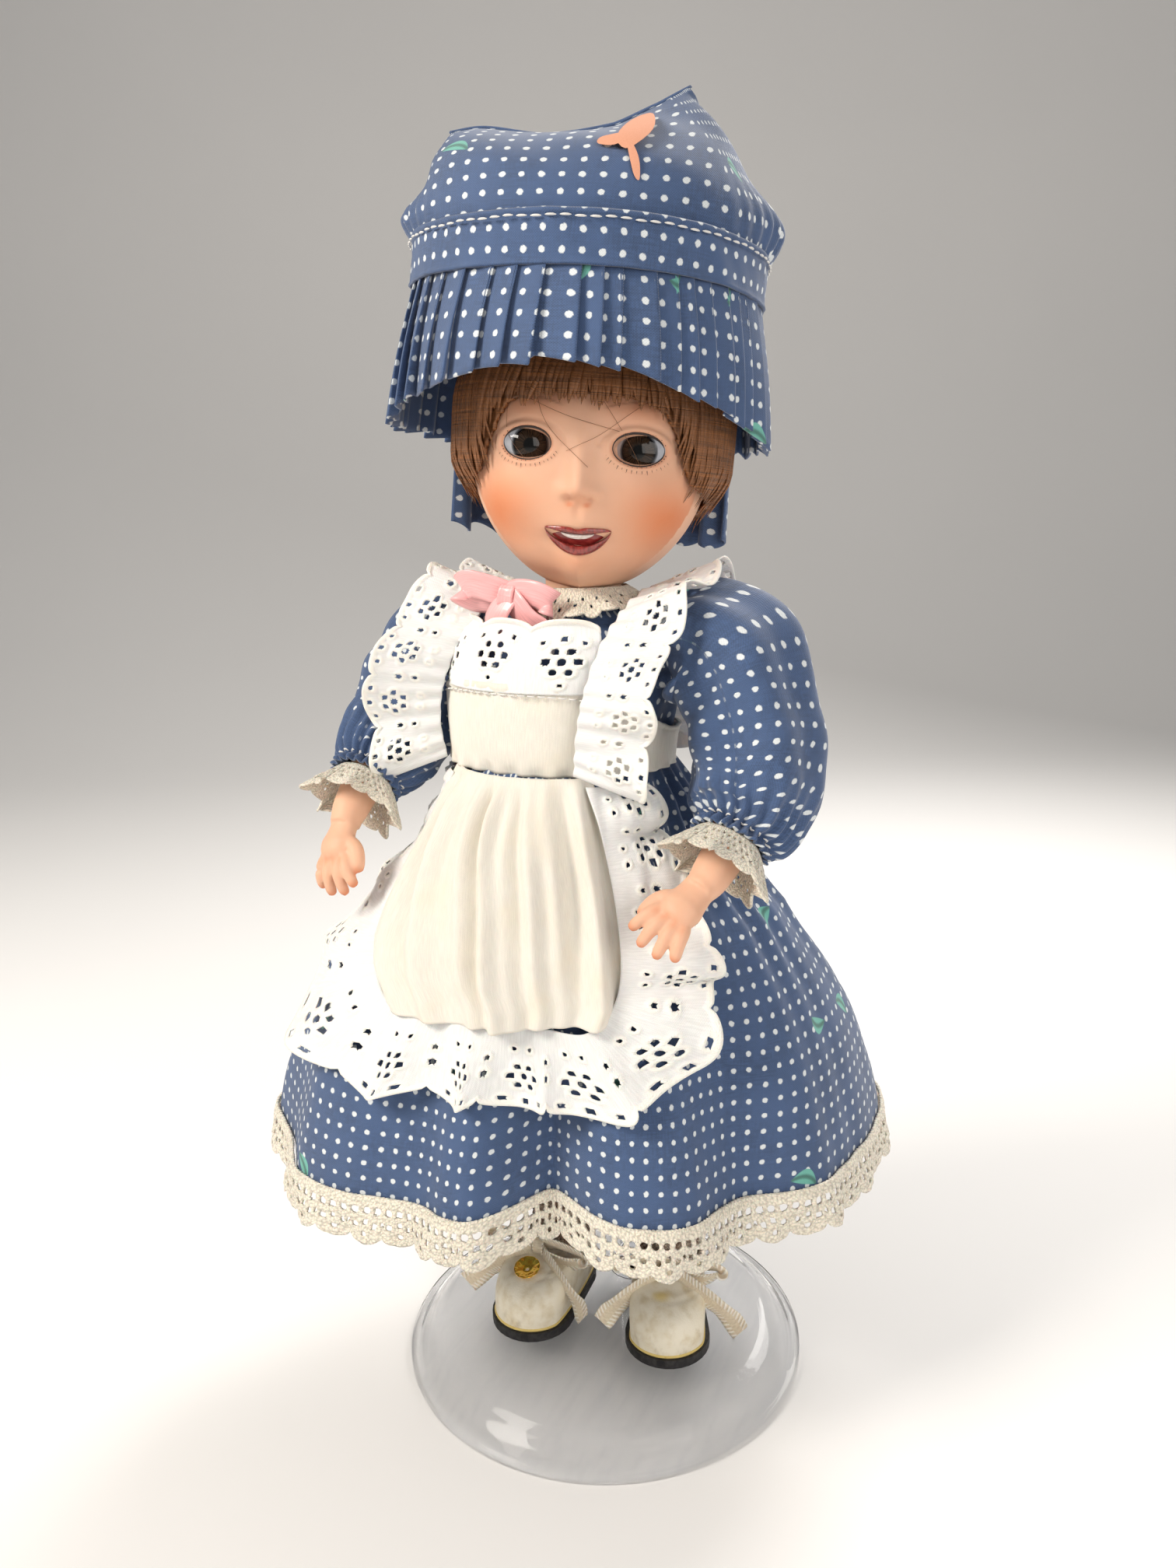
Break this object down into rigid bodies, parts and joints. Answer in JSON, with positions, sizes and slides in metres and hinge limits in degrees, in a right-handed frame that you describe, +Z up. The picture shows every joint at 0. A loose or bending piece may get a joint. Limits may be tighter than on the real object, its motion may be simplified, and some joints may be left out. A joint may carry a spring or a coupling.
{
  "type": "porcelain doll",
  "caption": "Jointed porcelain doll in a dotted dress, pinafore apron and pleated bonnet, held by the waist on a clear telescopic stand.",
  "frame": {"origin": "centre of the stand's foot rim, on the surface it stands on", "axes": "+Z up, the doll's body faces -Y, the doll's left hand side is +X"},
  "size_m": [0.1255, 0.099, 0.2581],
  "materials": {
    "clear_plastic": "clear, moulded",
    "steel": "drawn wire",
    "bisque": "matte bisque, painted",
    "elastic": "woven elastic",
    "eye_glass": "solid blown glass",
    "plaster": "set plaster",
    "pate_card": "pressed card",
    "hair": "synthetic mohair",
    "dotted_cotton": "navy cotton with white dots",
    "white_cotton": "plain cotton",
    "eyelet": "eyelet embroidery",
    "cream_lace": "crochet lace",
    "satin": "satin ribbon",
    "organza": "sheer ribbon with stitched edges",
    "knit": "fine knit",
    "shoe_leather": "smooth leathercloth",
    "sole_board": "black board",
    "gilt": "iridescent cup sequin"
  },
  "bodies": {
    "stand": {"stand_base": "clear_plastic", "stand_post": "clear_plastic"},
    "torso": {"post_rod": "steel", "waist_clip": "steel", "torso": "bisque", "arm_elastic": "elastic", "leg_elastic": "elastic", "pantalettes_seat": "white_cotton", "dress_bodice": "dotted_cotton", "dress_collar": "cream_lace", "collar_bow": "satin", "dress_snaps": "steel", "dress_skirt": "dotted_cotton", "hem_lace": "cream_lace", "apron_waistband": "white_cotton", "apron_bib": "white_cotton", "apron_skirt": "white_cotton", "apron_flounce": "eyelet", "apron_tie": "white_cotton", "apron_strap_left": "white_cotton", "apron_strap_right": "white_cotton", "strap_frill_left": "eyelet", "strap_frill_right": "eyelet"},
    "head": {"head": "bisque", "eye_left": "eye_glass", "eye_right": "eye_glass", "eye_plaster": "plaster", "pate": "pate_card", "head_hook": "steel", "wig": "hair", "hat_band": "dotted_cotton", "hat_crown": "dotted_cotton", "hat_brim": "dotted_cotton", "hat_curtain": "dotted_cotton"},
    "arm_left": {"arm_left": "bisque", "arm_hook_left": "steel", "sleeve_left": "dotted_cotton", "cuff_lace_left": "cream_lace"},
    "leg_left": {"leg_left": "bisque", "leg_hook_left": "steel", "pantalette_leg_left": "white_cotton", "sock_left": "knit", "shoe_left": "shoe_leather", "sole_left": "sole_board", "shoe_ribbon_left": "organza"},
    "arm_right": {"arm_right": "bisque", "arm_hook_right": "steel", "sleeve_right": "dotted_cotton", "cuff_lace_right": "cream_lace"},
    "leg_right": {"leg_right": "bisque", "leg_hook_right": "steel", "pantalette_leg_right": "white_cotton", "sock_right": "knit", "shoe_right": "shoe_leather", "sole_right": "sole_board", "shoe_ribbon_right": "organza", "sequin": "gilt"}
  },
  "joints": [
    {"name": "stand_height", "type": "slide", "parent": "stand", "child": "torso", "axis": [0, 0, 1], "range_m": [0, 0.03]},
    {"name": "neck_turn", "type": "hinge", "parent": "torso", "child": "head", "pos_m": [0, -0.003, 0.17], "axis": [0, 0, 1], "range_deg": [-67, 23]},
    {"name": "shoulder_left", "type": "hinge", "parent": "torso", "child": "arm_left", "pos_m": [0.0285, -0.003, 0.157], "axis": [-1, 0, 0], "range_deg": [0, 65]},
    {"name": "shoulder_right", "type": "hinge", "parent": "torso", "child": "arm_right", "pos_m": [-0.0285, -0.003, 0.157], "axis": [-1, 0, 0], "range_deg": [0, 60]},
    {"name": "hip_left", "type": "hinge", "parent": "torso", "child": "leg_left", "pos_m": [0.0087, 0.0005, 0.105], "axis": [-1, 0, 0], "range_deg": [-2, 4]},
    {"name": "hip_right", "type": "hinge", "parent": "torso", "child": "leg_right", "pos_m": [-0.0087, 0.0005, 0.105], "axis": [-1, 0, 0], "range_deg": [-2, 6]}
  ]
}
